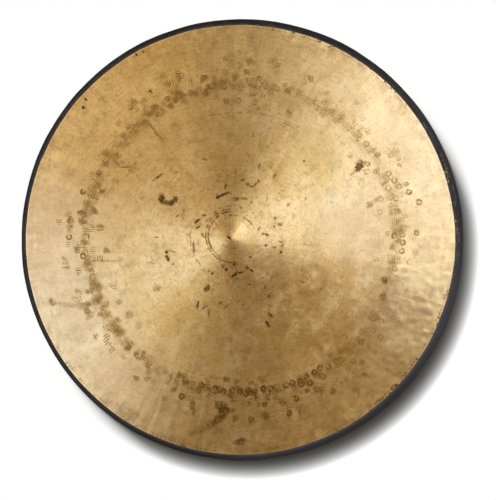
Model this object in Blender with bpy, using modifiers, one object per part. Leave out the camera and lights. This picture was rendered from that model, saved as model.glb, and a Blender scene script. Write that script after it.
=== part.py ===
"""A hammered bronze gong, 660 mm across, with a turned-back rim.

Run it with blender --background --python part.py, or from Blender's text editor.
The gong lies face up. The back edge of its rim is on z = 0, +Z is its axis and points out of
the playing face, and +Y is the side that is uppermost when the gong hangs. Lengths are in metres.
"""

import math

import bmesh
import bpy
from mathutils import Matrix, Vector

# Overall size
RIM_DIAMETER = 0.660  # outside, at the rim's back edge
RIM_DEPTH = 0.046  # from the rim's back edge up to the playing face's edge

# Playing face
FACE_DIAMETER = 0.631  # of the bright metal, where it meets the bend
FACE_WALL = 0.0024
BAND_RISE = 0.0054  # from the face's edge up to the shoulder
SHOULDER_DIAMETER = 0.460  # the line of hammer marks, where the slope changes
CENTRE_RISE = 0.0050  # from the shoulder up to the foot of the boss
SHOULDER_SOFTNESS = 0.024  # width over which the two slopes run into each other

# Boss, where the lathe held the plate. It sits a little to one side of the middle.
BOSS_DIAMETER = 0.078
BOSS_RISE = 0.0030
LATHE_CENTRE = (-0.0140, 0.0024)

# Rim
RIM_WALL = 0.0032
BEND_RADIUS = 0.0042  # outside of the bend
BACK_EDGE_ROUND = 0.0006

# Cord holes in the rim
CORD_HOLE_DIAMETER = 0.010
CORD_HOLE_ANGLE = math.radians(27)  # either side of +Y, about the gong's axis
CORD_HOLE_HEIGHT = 0.021  # of its middle above the back edge
HOLE_CUT_SPARE = 0.006  # how far the cutter stands out of each side of the wall

# Where the two finishes meet
SEAM_CLEARANCE = 0.0003

# How finely the round shapes are cut into flats
TURNED_STEPS = 96
BEND_POINTS = 6
EDGE_POINTS = 3
HOLE_STEPS = 24
INNER_RINGS = 6
BOSS_RINGS = 4
BAND_RINGS = 4

BRONZE_COLOUR = (0.52, 0.33, 0.13, 1.0)
SCALE_COLOUR = (0.028, 0.027, 0.030, 1.0)

FACE_RADIUS = FACE_DIAMETER / 2
SHOULDER_RADIUS = SHOULDER_DIAMETER / 2
BOSS_RADIUS = BOSS_DIAMETER / 2
RIM_RADIUS = RIM_DIAMETER / 2
BAND_SLOPE = BAND_RISE / (FACE_RADIUS - SHOULDER_RADIUS)
CENTRE_SLOPE = CENTRE_RISE / (SHOULDER_RADIUS - BOSS_RADIUS)


def clear_scene():
    for obj in list(bpy.data.objects):
        bpy.data.objects.remove(obj)


def new_collection(name):
    collection = bpy.data.collections.new(name)
    bpy.context.scene.collection.children.link(collection)
    return collection


def metal(name, colour, metallic, roughness):
    material = bpy.data.materials.new(name)
    material.use_nodes = True
    shader = material.node_tree.nodes["Principled BSDF"]
    shader.inputs["Base Color"].default_value = colour
    shader.inputs["Metallic"].default_value = metallic
    shader.inputs["Roughness"].default_value = roughness
    material.diffuse_color = colour
    return material


def smooth_step(t):
    t = min(max(t, 0.0), 1.0)
    return t * t * (3 - 2 * t)


def face_height(radius):
    """How high the playing face stands above the rim's back edge, at a distance from its middle."""
    outer = BAND_SLOPE * (FACE_RADIUS - radius)
    inner = BAND_RISE + CENTRE_SLOPE * (SHOULDER_RADIUS - radius)
    blend = smooth_step(0.5 + (radius - SHOULDER_RADIUS) / SHOULDER_SOFTNESS)
    dish = outer * blend + inner * (1 - blend)
    foot = BAND_RISE + CENTRE_RISE
    boss = foot + BOSS_RISE * smooth_step(1 - radius / BOSS_RADIUS)
    return RIM_DEPTH + (dish if radius > BOSS_RADIUS else boss)


def spaced(start, end, count):
    """count numbers from start towards end, without end itself."""
    return [start + (end - start) * i / count for i in range(count)]


def arc(centre, radius, start, end, count):
    """count + 1 points of (distance from axis, height) along an arc, angles from +X towards +Z."""
    angles = spaced(start, end, count) + [end]
    return [centre + radius * Vector((math.cos(a), math.sin(a))) for a in angles]


def face_section():
    """The face's section from the axis out along the top, down the seam and back along the under side."""
    half_soft = SHOULDER_SOFTNESS / 2
    radii = (
        spaced(0.0, BOSS_RADIUS, BOSS_RINGS)
        + spaced(BOSS_RADIUS, SHOULDER_RADIUS - half_soft, INNER_RINGS)
        + spaced(SHOULDER_RADIUS - half_soft, SHOULDER_RADIUS + half_soft, BAND_RINGS)
        + spaced(SHOULDER_RADIUS + half_soft, FACE_RADIUS, BAND_RINGS)
    )
    edge = Vector((FACE_RADIUS, RIM_DEPTH)) - band_outward() * SEAM_CLEARANCE
    top = [Vector((r, face_height(r))) for r in radii] + [edge]
    under = [point - Vector((0.0, FACE_WALL)) for point in top[:-1]]
    seam_foot = edge - band_normal() * FACE_WALL
    return top + [seam_foot] + under[::-1]


def band_normal():
    """The direction square to the face's outer band, as (outward, up)."""
    return Vector((BAND_SLOPE, 1.0)).normalized()


def band_outward():
    """The direction down the face's outer band, towards the rim."""
    return Vector((1.0, -BAND_SLOPE)).normalized()


def bend_centre():
    return Vector((FACE_RADIUS, RIM_DEPTH)) - band_normal() * BEND_RADIUS


def wall_flare():
    """The angle that the rim's wall leans out from straight down."""
    edge_centre = Vector((RIM_RADIUS - BACK_EDGE_ROUND, BACK_EDGE_ROUND))
    run = edge_centre - bend_centre()
    return math.atan2(run.y, run.x) + math.acos((BEND_RADIUS - BACK_EDGE_ROUND) / run.length)


def wall_normal():
    return Vector((math.cos(wall_flare()), math.sin(wall_flare())))


def wall_point(height, depth):
    """A point of the rim's wall at this height, this deep under its outer side."""
    down = Vector((math.sin(wall_flare()), -math.cos(wall_flare())))
    start = bend_centre() + wall_normal() * (BEND_RADIUS - depth)
    return start + down * (start.y - height) / math.cos(wall_flare())


def rim_section():
    """The rim's section: over the bend, down the outer side, across the back edge and up the inner side."""
    centre = bend_centre()
    flare = wall_flare()
    seam = math.atan2(band_normal().y, band_normal().x)
    outer_bend = arc(centre, BEND_RADIUS, seam, flare, BEND_POINTS)

    outer_corner = Vector((RIM_RADIUS - BACK_EDGE_ROUND, BACK_EDGE_ROUND))
    outer_edge = arc(outer_corner, BACK_EDGE_ROUND, flare, -math.pi / 2, EDGE_POINTS)
    inner_corner = wall_point(BACK_EDGE_ROUND, RIM_WALL - BACK_EDGE_ROUND)
    inner_edge = arc(inner_corner, BACK_EDGE_ROUND, -math.pi / 2, flare - math.pi, EDGE_POINTS)

    inner_bend = []
    for i in range(BEND_POINTS + 1):
        share = i / BEND_POINTS
        wall = RIM_WALL + (FACE_WALL - RIM_WALL) * share
        angle = flare + (seam - flare) * share
        inner_bend.append(centre + (BEND_RADIUS - wall) * Vector((math.cos(angle), math.sin(angle))))
    return outer_bend + outer_edge + inner_edge + inner_bend


def turned(name, section, closed, material, collection):
    """A solid of revolution about +Z, from a section of (distance from axis, height)."""
    mesh = bpy.data.meshes.new(name)
    points = [(point.x, 0.0, point.y) for point in section]
    edges = [(i, i + 1) for i in range(len(points) - 1)]
    if closed:
        edges.append((len(points) - 1, 0))
    mesh.from_pydata(points, edges, [])
    mesh.materials.append(material)
    obj = bpy.data.objects.new(name, mesh)
    collection.objects.link(obj)
    screw = obj.modifiers.new("turn", "SCREW")
    screw.axis = "Z"
    screw.angle = 2 * math.pi
    screw.steps = TURNED_STEPS
    screw.render_steps = TURNED_STEPS
    screw.use_merge_vertices = True
    screw.merge_threshold = 0.00001
    screw.use_smooth_shade = True
    return obj


def made_real(obj):
    """Turns an object's modifiers into its mesh."""
    graph = bpy.context.evaluated_depsgraph_get()
    mesh = bpy.data.meshes.new_from_object(obj.evaluated_get(graph))
    obj.modifiers.clear()
    obj.data = mesh


def centre_on_lathe(obj):
    """Slides the rings inside the shoulder sideways, more towards the middle, to the lathe's centre."""
    for vertex in obj.data.vertices:
        radius = math.hypot(vertex.co.x, vertex.co.y)
        share = 1 - smooth_step((radius - BOSS_RADIUS) / (SHOULDER_RADIUS - BOSS_RADIUS))
        vertex.co.x += share * LATHE_CENTRE[0]
        vertex.co.y += share * LATHE_CENTRE[1]


def smooth_shaded(obj):
    obj.data.shade_smooth()
    obj.data.set_sharp_from_angle(angle=math.radians(35))


def build_face(collection, material):
    face = turned("face", face_section(), False, material, collection)
    made_real(face)
    centre_on_lathe(face)
    smooth_shaded(face)
    return face


def cord_hole_cutter(side, collection):
    """A cylinder square to the rim's wall. side is -1 for the hole left of the top, 1 for the right."""
    flare = wall_flare()
    middle = wall_point(CORD_HOLE_HEIGHT, RIM_WALL / 2)
    mesh = bpy.data.meshes.new("cord_hole_cutter")
    shape = bmesh.new()
    bmesh.ops.create_cone(
        shape,
        cap_ends=True,
        segments=HOLE_STEPS,
        radius1=CORD_HOLE_DIAMETER / 2,
        radius2=CORD_HOLE_DIAMETER / 2,
        depth=RIM_WALL + 2 * HOLE_CUT_SPARE,
    )
    shape.to_mesh(mesh)
    shape.free()
    cutter = bpy.data.objects.new("cord_hole_cutter", mesh)
    collection.objects.link(cutter)
    # The cylinder's own axis is +Z. It is leaned to the wall's normal, then turned about the gong.
    lean = Matrix.Rotation(math.pi / 2 - flare, 4, "Y")
    place = Matrix.Translation((middle.x, 0.0, middle.y))
    turn = Matrix.Rotation(math.pi / 2 - side * CORD_HOLE_ANGLE, 4, "Z")
    cutter.matrix_world = turn @ place @ lean
    cutter.hide_render = True
    cutter.display_type = "WIRE"
    return cutter


def build_rim(collection, cutters, material):
    rim = turned("rim", rim_section(), True, material, collection)
    for side in (-1, 1):
        hole = rim.modifiers.new("cord_hole", "BOOLEAN")
        hole.operation = "DIFFERENCE"
        hole.solver = "EXACT"
        hole.object = cord_hole_cutter(side, cutters)
    made_real(rim)
    smooth_shaded(rim)
    return rim


def main():
    clear_scene()
    gong = new_collection("gong")
    cutters = new_collection("cutters")
    build_face(gong, metal("bronze", BRONZE_COLOUR, 1.0, 0.34))
    build_rim(gong, cutters, metal("forging_scale", SCALE_COLOUR, 0.3, 0.55))


main()
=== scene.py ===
"""The looks of a hammered bronze gong that lies face up: its beaten metal, its finish and a studio.

The bright playing face and the black turned-back rim are each modelled as a fine mesh that follows
the CAD section and adds the waviness of hammer work. Lengths are in metres, unless a name or a
comment says mm.
"""

import itertools
import math

import bpy
import numpy as np
from mathutils import Matrix, Vector


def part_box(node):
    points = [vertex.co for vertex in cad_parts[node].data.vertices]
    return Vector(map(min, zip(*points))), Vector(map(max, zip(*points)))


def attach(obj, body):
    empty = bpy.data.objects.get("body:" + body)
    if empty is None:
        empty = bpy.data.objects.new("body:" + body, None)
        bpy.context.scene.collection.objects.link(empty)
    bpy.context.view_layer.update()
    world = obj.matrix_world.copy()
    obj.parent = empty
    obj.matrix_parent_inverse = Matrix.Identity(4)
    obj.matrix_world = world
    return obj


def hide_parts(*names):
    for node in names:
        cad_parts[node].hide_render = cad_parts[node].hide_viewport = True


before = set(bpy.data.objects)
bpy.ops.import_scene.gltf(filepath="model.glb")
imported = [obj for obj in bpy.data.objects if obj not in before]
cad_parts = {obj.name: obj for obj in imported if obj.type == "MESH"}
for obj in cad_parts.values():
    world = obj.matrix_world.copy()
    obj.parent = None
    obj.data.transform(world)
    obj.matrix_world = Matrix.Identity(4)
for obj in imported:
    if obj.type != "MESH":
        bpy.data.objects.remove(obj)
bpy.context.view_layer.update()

# Sizes that come from the frame
RIM_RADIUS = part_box("rim")[1][0]
RIM_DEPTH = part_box("rim")[1][2]
TOP_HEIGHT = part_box("face")[1][2]

# The gong's section, as its maker beat it
FACE_RADIUS = 0.3155
FACE_WALL = 0.0024
BAND_RISE = 0.0054
SHOULDER_RADIUS = 0.230
CENTRE_RISE = 0.0050
SHOULDER_SOFTNESS = 0.024
BOSS_RADIUS = 0.039
LATHE_CENTRE = (-0.014, 0.0024)
RIM_WALL = 0.0032
BEND_RADIUS = 0.0042
BACK_EDGE_ROUND = 0.0006
CORD_HOLE_DIAMETER = 0.010
CORD_HOLE_ANGLE = math.radians(27)
CORD_HOLE_HEIGHT = 0.021
CORD_HOLE_CHAMFER = 0.0007
WORN_EDGE = ((0.45, 0.6), (0.0, 1.6))  # the steps of a hole's worn edge, out and down, in chamfers
CUTTER_REACH = 0.004  # how far a hole's cutter stands out past the wall

# Hammer work: how far each kind moves the metal
BROAD_DEPTH = 0.00030
DENT_DEPTH = 0.00006
OUTER_DENT_DEPTH = 0.00009
EDGE_DENT_DEPTH = 0.00019
RING_MARK_DEPTH = 0.00010
FOLD_DEPTH = 0.00008
CREASE_DEPTH = 0.00010
CRUMPLE_DEPTH = 0.00022
RAY_DEPTH = 0.00005
BEND_SWAY = 0.0007
FINE_BEND_SWAY = 0.0003
OVAL_LOSS = 0.0014
LUMP_LOSS = 0.0013
FINE_LOSS = 0.0004
RIM_DENT_DEPTH = 0.00045
RIM_GRAIN_DEPTH = 0.00025
HOLE_DENT_DEPTH = 0.0013
HOLE_DENT_HALF_WIDTH = 0.009
HOLE_DENT_HALF_HEIGHT = 0.014
WIDEST_ANGLE = math.radians(155)
PULLED_ANGLE = math.radians(335)  # the lower right, where the metal is pulled out of shape

# The camera, and the photograph's frame in pixels
PHOTO_WIDTH = 496
CAMERA_DISTANCE = 4.0
CAMERA_LEAN = (math.radians(3.04), math.radians(0.21))  # off the gong's axis, towards +X and +Y
CAMERA_AIM = (0.0099, -0.0152, 0.0)
PIXELS_PER_METRE = 672.7  # at the aim
SENSOR_MM = 36.0

# Where the table's shadow has faded into the backdrop: a circle a little down and right of the gong. The
# fade is a painted shadow edge: the table glows ever whiter towards this circle, and white past it
SHADOW_MIDDLE = (0.0094, -0.0134)
SHADOW_REACH = 0.3427
SHADOW_FADE = 0.0312
SHADOW_FADE_POWER = 2.6
FLOOR_HALF = 6.0

# Lamps: name, azimuth and angle from straight up in degrees, strength, width in degrees, tint
SOFTBOXES = (
    ("right_softbox", 16, 34, 1.67, 42, (0.66, 0.76, 1.0)),
    ("upper_right_softbox", 60, 64, 2.30, 48, (0.93, 0.96, 1.0)),
    ("upper_left_softbox", 139, 33, 0.62, 43, (1.0, 0.91, 0.79)),
    ("left_softbox", 205, 56, 1.86, 56, (0.61, 0.74, 1.0)),
)
# The cool table and this warm key make white, and the warm room's light in the shadow comes out grey
FLOOR_KEY = ("floor_key", 127, 73, 16.8, 24, (1.0, 0.79, 0.59))

# How finely the pieces are meshed
FACE_ANGLES = 600
FACE_RINGS = 128
UNDER_RINGS = 30
RIM_ANGLES = 720
BEND_STEPS = 12
ROUND_STEPS = 4
OUTER_WALL_STEPS = 22
INNER_WALL_STEPS = 12
INNER_BEND_STEPS = 5
CUTTER_ANGLES = 48
SHARP_ANGLE = math.radians(40)


def smooth_step(low, high, value):
    share = np.clip((value - low) / (high - low), 0.0, 1.0)
    return share * share * (3 - 2 * share)


def heading(turn_deg):
    turn = math.radians(turn_deg)
    return math.cos(turn), math.sin(turn)


# What the soft noise is made from
LATTICE = 256
NOISE_GAIN = 1.6
SHUFFLED = np.random.RandomState(4).permutation(LATTICE)
DIRECTIONS = np.random.RandomState(5).normal(size=(LATTICE, 3))
DIRECTIONS /= np.linalg.norm(DIRECTIONS, axis=1, keepdims=True)


def noise_at(points, size, seed):
    """Soft noise from about -1 to 1 at each point, with lumps of this size."""
    points = points / size
    cell = np.floor(points).astype(int)
    part = points - cell
    fade = part**3 * (part * (part * 6 - 15) + 10)
    total = np.zeros(points.shape[:-1])
    for corner in itertools.product((0, 1), repeat=3):
        x, y, z = np.moveaxis(cell + corner, -1, 0)
        key = SHUFFLED[(SHUFFLED[(SHUFFLED[(x + seed) % LATTICE] + y) % LATTICE] + z) % LATTICE]
        slope = (DIRECTIONS[key] * (part - corner)).sum(axis=-1)
        weight = np.where(np.array(corner) == 1, fade, 1 - fade).prod(axis=-1)
        total += weight * slope
    return total * NOISE_GAIN


def around(angles, bumps, depth, seed):
    """Noise of an angle and a depth, which closes on itself: about this many bumps in a turn."""
    reach = bumps / 4
    points = np.stack([np.cos(angles) * reach, np.sin(angles) * reach, depth], axis=-1)
    return noise_at(points, 1.0, seed)


def edge_sway(angles):
    """How far the bend wanders in and out with the hammering."""
    zero = np.zeros_like(angles)
    return BEND_SWAY * around(angles, 14, zero, 3) + FINE_BEND_SWAY * around(angles, 60, zero, 4)


def outline_sway(angles):
    """How far the rim's back edge falls short of a true circle."""
    zero = np.zeros_like(angles)
    broad = 0.5 + 0.5 * np.cos(2 * (angles - WIDEST_ANGLE))
    lumps = 0.5 + 0.5 * around(angles, 22, zero, 7)
    fine = 0.5 + 0.5 * around(angles, 90, zero, 8)
    return -(OVAL_LOSS * (1 - broad) + LUMP_LOSS * lumps + FINE_LOSS * fine)


def face_profile(radius):
    """The height of the face over the rim's back edge, before hammering."""
    band_slope = BAND_RISE / (FACE_RADIUS - SHOULDER_RADIUS)
    centre_slope = CENTRE_RISE / (SHOULDER_RADIUS - BOSS_RADIUS)
    outer = band_slope * (FACE_RADIUS - radius)
    inner = BAND_RISE + centre_slope * (SHOULDER_RADIUS - np.maximum(radius, BOSS_RADIUS))
    half = SHOULDER_SOFTNESS / 2
    dish = inner + (outer - inner) * smooth_step(SHOULDER_RADIUS - half, SHOULDER_RADIUS + half, radius)
    boss_rise = TOP_HEIGHT - RIM_DEPTH - BAND_RISE - CENTRE_RISE
    boss = boss_rise * smooth_step(BOSS_RADIUS, 0.0, radius)
    return RIM_DEPTH + dish + boss


def hammering(radius, angles, x, y):
    """How far the face stands off its turned profile: broad dents, ring marks and radial folds."""
    flat = np.stack([x, y, np.zeros_like(x)], axis=-1)
    outward = smooth_step(0.20, 0.30, radius)
    off_boss = smooth_step(0.012, 0.07, radius)
    broad = BROAD_DEPTH * noise_at(flat, 0.085, 1)
    dents = (DENT_DEPTH + OUTER_DENT_DEPTH * outward) * noise_at(flat, 0.026, 2)
    near_edge = smooth_step(0.265, 0.300, radius)
    dents = dents + EDGE_DENT_DEPTH * near_edge * noise_at(flat, 0.0095, 10)
    in_ring = np.exp(-(((radius - 0.233) / 0.014) ** 2))
    marks = RING_MARK_DEPTH * in_ring * noise_at(flat, 0.0075, 5)
    folds = FOLD_DEPTH * outward * around(angles, 90, radius / 0.07, 6)
    pulled = smooth_step(0.35, 0.9, np.cos(angles - PULLED_ANGLE))
    creases = CREASE_DEPTH * around(angles, 150, radius / 0.035, 13)
    crumple = creases + CRUMPLE_DEPTH * noise_at(flat, 0.0095, 14)
    folds = folds + outward * pulled * crumple
    rays = RAY_DEPTH * around(angles, 54, radius / 0.16, 9) * smooth_step(0.03, 0.10, radius)
    return off_boss * (broad + dents + marks + folds + rays)


def ring_of_points(radius, angles, height):
    x, y = radius * np.cos(angles), radius * np.sin(angles)
    return np.stack([x, y, np.full_like(angles, height)], axis=-1)


def lathe_slide(radius):
    """How far the face's middle is moved aside, so that the boss is round the lathe's centre."""
    share = 1 - smooth_step(BOSS_RADIUS, SHOULDER_RADIUS, radius)
    return share * LATHE_CENTRE[0], share * LATHE_CENTRE[1]


def face_rows():
    """Rows of points from the axis over the top to the edge, and back under to the axis."""
    angles = np.arange(FACE_ANGLES) * 2 * math.pi / FACE_ANGLES
    edge = FACE_RADIUS + edge_sway(angles)
    shares = np.arange(1, FACE_RINGS + 1) / FACE_RINGS
    under_shares = np.linspace(1.0, 1 / UNDER_RINGS, UNDER_RINGS)
    rows, from_edge = [], []
    for share, under in [(s, False) for s in shares] + [(s, True) for s in under_shares]:
        sway = smooth_step(0.8, 1.0, share)
        radius = share * (FACE_RADIUS + (edge - FACE_RADIUS) * sway)
        slide_x, slide_y = lathe_slide(radius)
        x = radius * np.cos(angles) + slide_x
        y = radius * np.sin(angles) + slide_y
        pinned = smooth_step(0.0, 0.004, FACE_RADIUS - share * FACE_RADIUS)
        z = face_profile(np.full_like(angles, share * FACE_RADIUS))
        z = z + pinned * hammering(radius, angles, x, y)
        if under:
            z = z - FACE_WALL
        rows.append(np.stack([x, y, z], axis=-1))
        from_edge.append(edge - radius)
    return rows, from_edge


def bend_centre():
    """The middle of the bend's round in the section, and the angle at which the bend meets the face."""
    slope = BAND_RISE / (FACE_RADIUS - SHOULDER_RADIUS)
    normal = Vector((slope, 1.0)).normalized()
    return Vector((FACE_RADIUS, RIM_DEPTH)) - normal * BEND_RADIUS, math.atan2(normal.y, normal.x)


def rim_section():
    """The rim's section as (distance from axis, height), and the way out of its wall's outer side."""
    centre, seam = bend_centre()
    corner = Vector((RIM_RADIUS - BACK_EDGE_ROUND, BACK_EDGE_ROUND))
    run = corner - centre
    flare = math.atan2(run.y, run.x) + math.acos((BEND_RADIUS - BACK_EDGE_ROUND) / run.length)
    out = Vector((math.cos(flare), math.sin(flare)))

    def arc(middle, radius, start, end, count):
        turns = np.linspace(start, end, count)
        return [middle + Vector((math.cos(a), math.sin(a))) * radius for a in turns]

    def line(start, end, count):
        return [start.lerp(end, i / (count + 1)) for i in range(1, count + 1)]

    outer_bend = arc(centre, BEND_RADIUS, seam, flare, BEND_STEPS)
    outer_edge = arc(corner, BACK_EDGE_ROUND, flare, -math.pi / 2, ROUND_STEPS)
    down = Vector((math.sin(flare), -math.cos(flare)))
    inner_start = centre + out * (BEND_RADIUS - RIM_WALL + BACK_EDGE_ROUND)
    inner_corner = inner_start + down * (inner_start.y - BACK_EDGE_ROUND) / math.cos(flare)
    inner_edge = arc(inner_corner, BACK_EDGE_ROUND, -math.pi / 2, flare - math.pi, ROUND_STEPS)
    inner_bend = []
    for share in (i / INNER_BEND_STEPS for i in range(INNER_BEND_STEPS + 1)):
        wall = RIM_WALL + (FACE_WALL - RIM_WALL) * share
        turn = flare + (seam - flare) * share
        inner_bend.append(centre + Vector((math.cos(turn), math.sin(turn))) * (BEND_RADIUS - wall))
    section = outer_bend + line(outer_bend[-1], outer_edge[0], OUTER_WALL_STEPS) + outer_edge
    section += inner_edge + line(inner_edge[-1], inner_bend[0], INNER_WALL_STEPS) + inner_bend
    return section, out


def rim_rows():
    """Rows of points down the rim's outer side, across its back edge and up its inner side."""
    angles = np.arange(RIM_ANGLES) * 2 * math.pi / RIM_ANGLES
    section, out = rim_section()
    seam_shift = edge_sway(angles)
    back_shift = outline_sway(angles)
    rows = []
    for point in section:
        low = np.clip(1 - point.y / RIM_DEPTH, 0.0, 1.0)
        radius = point.x + seam_shift * (1 - low) + back_shift * low
        middle = math.sin(math.pi * low)
        dents = RIM_DENT_DEPTH * around(angles, 70, np.full_like(angles, point.y / 0.02), 11)
        dents += RIM_GRAIN_DEPTH * around(angles, 200, np.full_like(angles, point.y / 0.008), 12)
        height = point.y + middle * dents * out.y
        radius = radius + middle * (dents * out.x + hole_dent(angles, point.y))
        rows.append(ring_of_points(radius, angles, height))
    return rows


def hole_dent(angles, height):
    """The wall is drawn in a little round each cord hole."""
    total = np.zeros_like(angles)
    for side in (-1, 1):
        turn = math.pi / 2 - side * CORD_HOLE_ANGLE
        along = (angles - turn) * RIM_RADIUS / HOLE_DENT_HALF_WIDTH
        up = (height - CORD_HOLE_HEIGHT) / HOLE_DENT_HALF_HEIGHT
        total -= HOLE_DENT_DEPTH * np.exp(-(along**2 + up**2))
    return total


def lathed_mesh(name, rows, closed_ends):
    """A mesh from rows of points round the axis. closed_ends joins the first and last rows at points."""
    count = len(rows[0])
    points = np.concatenate(rows)
    quads = []
    here = np.arange(count)
    there = np.roll(here, -1)
    pairs = [(i, i + 1) for i in range(len(rows) - 1)]
    if not closed_ends:
        pairs.append((len(rows) - 1, 0))
    for upper, lower in pairs:
        a, b = upper * count, lower * count
        quads.append(np.stack([a + here, b + here, b + there, a + there], axis=-1))
    faces = np.concatenate(quads).tolist()
    if closed_ends:
        top, bottom = len(points), len(points) + 1
        ends = [rows[0].mean(axis=0), rows[-1].mean(axis=0)]
        points = np.concatenate([points, ends])
        last = (len(rows) - 1) * count
        faces += [(top, int(i), int(j)) for i, j in zip(here, there)]
        faces += [(bottom, int(last + j), int(last + i)) for i, j in zip(here, there)]
    mesh = bpy.data.meshes.new(name)
    mesh.from_pydata(points.tolist(), [], faces)
    mesh.validate()
    return mesh


def set_attribute(mesh, name, rows, spare):
    """A number for each point, with a spare value for points past the rows."""
    values = np.concatenate(rows)
    full = np.full(len(mesh.vertices), spare, dtype=np.float32)
    full[: len(values)] = values
    attribute = mesh.attributes.new(name, "FLOAT", "POINT")
    attribute.data.foreach_set("value", full)


def shown(name, mesh, materials):
    for material in materials:
        mesh.materials.append(material)
    shape = bpy.data.objects.new(name, mesh)
    bpy.context.scene.collection.objects.link(shape)
    return shape


def shade_smooth(mesh):
    mesh.shade_smooth()
    mesh.set_sharp_from_angle(angle=SHARP_ANGLE)


class Nodes:
    """Adds shader nodes to one tree. Most calls give back the output socket that they make."""

    def __init__(self, tree):
        self.tree = tree

    def put(self, socket, value):
        if isinstance(value, bpy.types.NodeSocket):
            self.tree.links.new(value, socket)
        else:
            socket.default_value = value

    def fill(self, node, inputs):
        for key, value in inputs.items():
            self.put(node.inputs[key], value)

    def add(self, kind, inputs, **settings):
        node = self.tree.nodes.new(kind)
        for name, value in settings.items():
            setattr(node, name, value)
        self.fill(node, inputs)
        return node

    def math(self, operation, a, b=0.0, c=0.0):
        return self.add("ShaderNodeMath", {0: a, 1: b, 2: c}, operation=operation).outputs[0]

    def plus(self, *terms):
        total = terms[0]
        for term in terms[1:]:
            total = self.math("ADD", total, term)
        return total

    def times(self, *factors):
        product = factors[0]
        for factor in factors[1:]:
            product = self.math("MULTIPLY", product, factor)
        return product

    def minus(self, a, b):
        return self.math("SUBTRACT", a, b)

    def most(self, *values):
        best = values[0]
        for value in values[1:]:
            best = self.math("MAXIMUM", best, value)
        return best

    def step(self, value, low, high, to_low=0.0, to_high=1.0):
        inputs = {"Value": value, "From Min": low, "From Max": high, "To Min": to_low, "To Max": to_high}
        return self.add("ShaderNodeMapRange", inputs, interpolation_type="SMOOTHSTEP").outputs[0]

    def vector(self, x, y, z=0.0):
        return self.add("ShaderNodeCombineXYZ", {0: x, 1: y, 2: z}).outputs[0]

    def length(self, x, y):
        return self.math("SQRT", self.plus(self.times(x, x), self.times(y, y)))

    def vector_math(self, operation, a, b=(0.0, 0.0, 0.0)):
        outputs = self.add("ShaderNodeVectorMath", {0: a, 1: b}, operation=operation).outputs
        return outputs["Value" if operation in ("DOT_PRODUCT", "LENGTH") else "Vector"]

    def noise(self, vector, scale, detail=2.0, roughness=0.5):
        inputs = {"Vector": vector, "Scale": scale, "Detail": detail, "Roughness": roughness}
        return self.add("ShaderNodeTexNoise", inputs).outputs[0]

    def cells(self, vector, size, randomness=1.0):
        """A flat net of random cells, each about this size."""
        inputs = {"Vector": vector, "Scale": 1 / size, "Randomness": randomness}
        return self.add("ShaderNodeTexVoronoi", inputs, voronoi_dimensions="2D").outputs

    def blend(self, factor, a, b):
        # A mix node's inputs 6 and 7 and its output 2 are the ones for colours
        return self.add("ShaderNodeMix", {0: factor, 6: a, 7: b}, data_type="RGBA").outputs[2]

    def bump(self, height, strength, distance):
        inputs = {"Height": height, "Strength": strength, "Distance": distance}
        return self.add("ShaderNodeBump", inputs).outputs[0]


def new_material(name):
    material = bpy.data.materials.new(name)
    material.use_nodes = True
    tree = material.node_tree
    return material, Nodes(tree), tree.nodes["Principled BSDF"]


def position(n):
    """The shaded point in the object's own axes: the point, and its X, Y and Z."""
    place = n.add("ShaderNodeTexCoord", {}).outputs["Object"]
    parts = n.add("ShaderNodeSeparateXYZ", {0: place}).outputs
    return place, parts[0], parts[1], parts[2]


def about(n, x, y, centre):
    """(x, y) from a centre, with the distance and the angle."""
    dx = n.minus(x, centre[0])
    dy = n.minus(y, centre[1])
    return dx, dy, n.length(dx, dy), n.math("ARCTAN2", dy, dx)


def sector(n, angle, middle_deg, half_deg, soft_deg):
    """1 within a sector of the turn, and 0 outside it."""
    off = n.math("COSINE", n.minus(angle, math.radians(middle_deg)))
    outer = math.cos(math.radians(min(half_deg + soft_deg, 179.0)))
    return n.step(off, outer, math.cos(math.radians(half_deg - soft_deg)))


def colour(red, green, blue):
    return (red, green, blue, 1.0)


# The ring of hammer marks, which isn't quite centred on the gong
RING_RADIUS = 0.2275
RING_SWAY = 0.0036
RING_SWAY_ANGLE = math.radians(28)
HAZE_RADIUS = 0.231
LOOP_RADIUS = 0.0034
LOOPS_IN_TURN = 122

BUMP_DISTANCE = 0.0004


def loop_at(n, distance):
    """A small ring, as a round punch leaves it."""
    return n.step(n.math("ABSOLUTE", n.minus(distance, LOOP_RADIUS)), 0.0023, 0.0006)


def row_of_loops(n, radius, angle, warp):
    """Small rings side by side round the gong."""
    cell_width = 2 * math.pi * RING_RADIUS / LOOPS_IN_TURN
    turned = n.times(angle, LOOPS_IN_TURN / (2 * math.pi))
    cell = n.math("FLOOR", turned)
    randoms = n.add("ShaderNodeTexWhiteNoise", {"W": cell}, noise_dimensions="1D")
    picks = n.add("ShaderNodeSeparateColor", {0: randoms.outputs["Color"]}).outputs
    along = n.times(n.minus(n.minus(turned, cell), n.plus(0.35, n.times(picks[0], 0.3))), cell_width)
    across = n.plus(n.minus(radius, RING_RADIUS - 0.003), n.times(n.minus(picks[1], 0.5), 0.005))
    distance = n.length(n.plus(along, warp[0]), n.plus(across, warp[1]))
    smudge = n.step(distance, 0.0075, 0.0015, 0.0, 0.45)
    shape = n.most(loop_at(n, distance), smudge)
    return n.times(shape, n.math("GREATER_THAN", picks[2], 0.15), n.plus(0.75, n.times(picks[0], 0.25)))


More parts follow.
